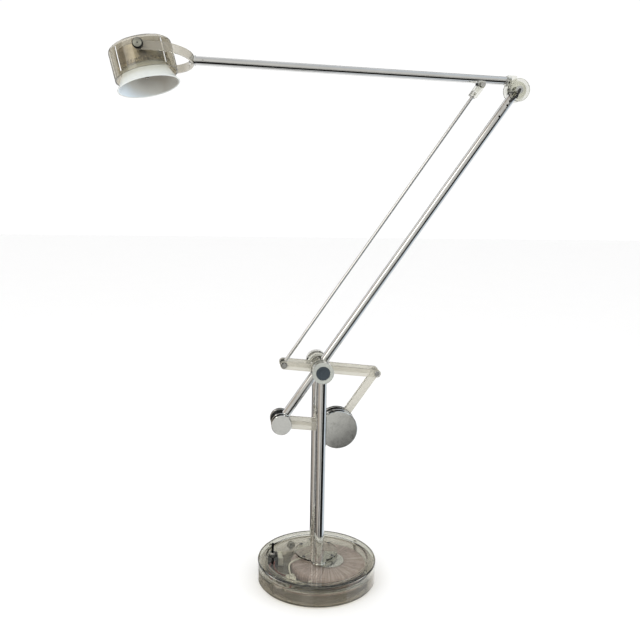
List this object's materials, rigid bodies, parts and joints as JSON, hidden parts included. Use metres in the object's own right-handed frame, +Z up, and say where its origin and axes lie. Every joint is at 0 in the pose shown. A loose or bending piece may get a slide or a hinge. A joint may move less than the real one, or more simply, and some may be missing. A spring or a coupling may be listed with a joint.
{
  "type": "adjustable arm floor lamp",
  "caption": "Counterbalanced arm floor lamp: clear drum base, twin chrome posts, parallelogram arm with disc counterweight, and a tilting head with a frosted glass shade.",
  "frame": {"origin": "centre of the base's underside, where it meets the floor", "axes": "+Z up, -Y the lamp's front, and the arm swings parallel to the XZ plane with the head towards -X"},
  "size_m": [0.8569, 0.26, 1.1388],
  "materials": {
    "rubber": "matte black rubber",
    "smoked_plastic": "clear plastic with a grey-brown tint",
    "clear_plastic": "clear plastic, faintly tinted",
    "tinted_plastic": "clear plastic with a faint yellow-green tint",
    "steel": "machined steel",
    "polished_metal": "satin-polished metal",
    "chrome": "bright chrome plate",
    "weight_steel": "turned steel",
    "dark_metal": "dark satin coating",
    "aluminium": "spun aluminium",
    "brass": "plain brass",
    "black_plastic": "black plastic",
    "white_plastic": "off-white plastic",
    "winding_tape": "wound tape, reddish brown",
    "brown_insulation": "red-brown wire insulation",
    "pale_insulation": "pale wire insulation",
    "black_insulation": "black wire insulation",
    "frosted_glass": "frosted glass",
    "bulb_glass": "clear lamp glass"
  },
  "bodies": {
    "stand": {"base_pad": "rubber", "base_tray": "smoked_plastic", "base_cover": "clear_plastic", "base_screws": "steel", "toroid_winding": "winding_tape", "toroid_clamp": "steel", "terminal_block": "white_plastic", "terminal_screws": "brass", "switch_body": "black_plastic", "switch_bushing": "steel", "fuse_holder": "white_plastic", "cord_inlet": "rubber", "mains_leads": "brown_insulation", "lamp_leads": "pale_insulation", "column_plate": "clear_plastic", "column_screws": "steel", "posts": "chrome", "post_bolts": "black_plastic", "hub_housings": "clear_plastic", "hub_cap_ring": "polished_metal", "hub_cap_disc": "black_plastic", "hub_rear_cap": "clear_plastic", "hub_axle": "steel", "hub_spacers": "clear_plastic"},
    "toggle": {"switch_lever": "black_plastic"},
    "main_arm": {"main_tube": "chrome", "arm_hub_drum": "clear_plastic", "tail_drum": "polished_metal", "tail_pin": "steel", "tail_caps": "polished_metal", "tail_washers": "black_plastic", "elbow_knuckle": "clear_plastic", "elbow_pin": "steel", "elbow_lead": "black_insulation"},
    "balance_lever": {"lever_plates": "tinted_plastic", "lever_pins": "steel", "lever_spacers": "clear_plastic"},
    "rod": {"tie_rod": "chrome", "rod_clevis": "clear_plastic"},
    "rear_link": {"balance_link": "tinted_plastic"},
    "lower_bar": {"lower_plates": "tinted_plastic", "weight_front_disc": "polished_metal", "weight_rear_discs": "weight_steel", "weight_axle": "steel"},
    "forearm": {"forearm_tube": "chrome", "forearm_plugs": "aluminium", "forearm_screws": "steel", "elbow_cheeks": "clear_plastic", "forearm_block": "clear_plastic", "rod_saddle": "polished_metal", "saddle_pin": "steel", "swivel_bolt": "polished_metal"},
    "yoke_arm": {"yoke": "clear_plastic", "yoke_knobs": "dark_metal"},
    "head": {"head_casing": "clear_plastic", "head_can": "aluminium", "shade": "frosted_glass", "lamp_holder": "white_plastic", "bulb": "bulb_glass"}
  },
  "joints": [
    {"name": "arm_pitch", "type": "hinge", "parent": "stand", "child": "main_arm", "pos_m": [0.004, 0.04, 0.472], "axis": [0, -1, 0], "range_deg": [-40, 35]},
    {"name": "elbow", "type": "hinge", "parent": "main_arm", "child": "forearm", "pos_m": [0.41011, 0.04, 1.0629], "axis": [0, -1, 0], "range_deg": [-60, 30]},
    {"name": "lever_pivot", "type": "hinge", "parent": "main_arm", "child": "balance_lever", "pos_m": [0.004, 0.04, 0.472], "axis": [0, -1, 0], "range_deg": [-62, 32]},
    {"name": "rod_pivot", "type": "hinge", "parent": "balance_lever", "child": "rod", "pos_m": [-0.07459, 0.04, 0.48006], "axis": [0, -1, 0], "range_deg": [-32, 62]},
    {"name": "link_pivot", "type": "hinge", "parent": "balance_lever", "child": "rear_link", "pos_m": [0.12735, 0.04, 0.45935], "axis": [0, -1, 0], "range_deg": [-32, 62]},
    {"name": "tail_pivot", "type": "hinge", "parent": "main_arm", "child": "lower_bar", "pos_m": [-0.07983, 0.04, 0.35003], "axis": [0, -1, 0], "range_deg": [-62, 32]},
    {"name": "yoke_swivel", "type": "hinge", "parent": "forearm", "child": "yoke_arm", "pos_m": [-0.35915, 0.04, 1.10105], "axis": [0.9997, 0, -0.0262], "range_deg": [-80, 80]},
    {"name": "head_tilt", "type": "hinge", "parent": "yoke_arm", "child": "head", "pos_m": [-0.35915, 0.04, 1.10105], "axis": [0.0045, -0.9848, 0.1736], "range_deg": [-60, 40]},
    {"name": "switch_toggle", "type": "hinge", "parent": "stand", "child": "toggle", "pos_m": [-0.095, 0.038, 0.041], "axis": [1, 0, 0], "range_deg": [0, 24]}
  ],
  "couplings": [
    {"joint": "lever_pivot", "follows": "elbow", "ratio": 1},
    {"joint": "rod_pivot", "follows": "elbow", "ratio": -1},
    {"joint": "link_pivot", "follows": "elbow", "ratio": -1},
    {"joint": "tail_pivot", "follows": "elbow", "ratio": 1}
  ]
}
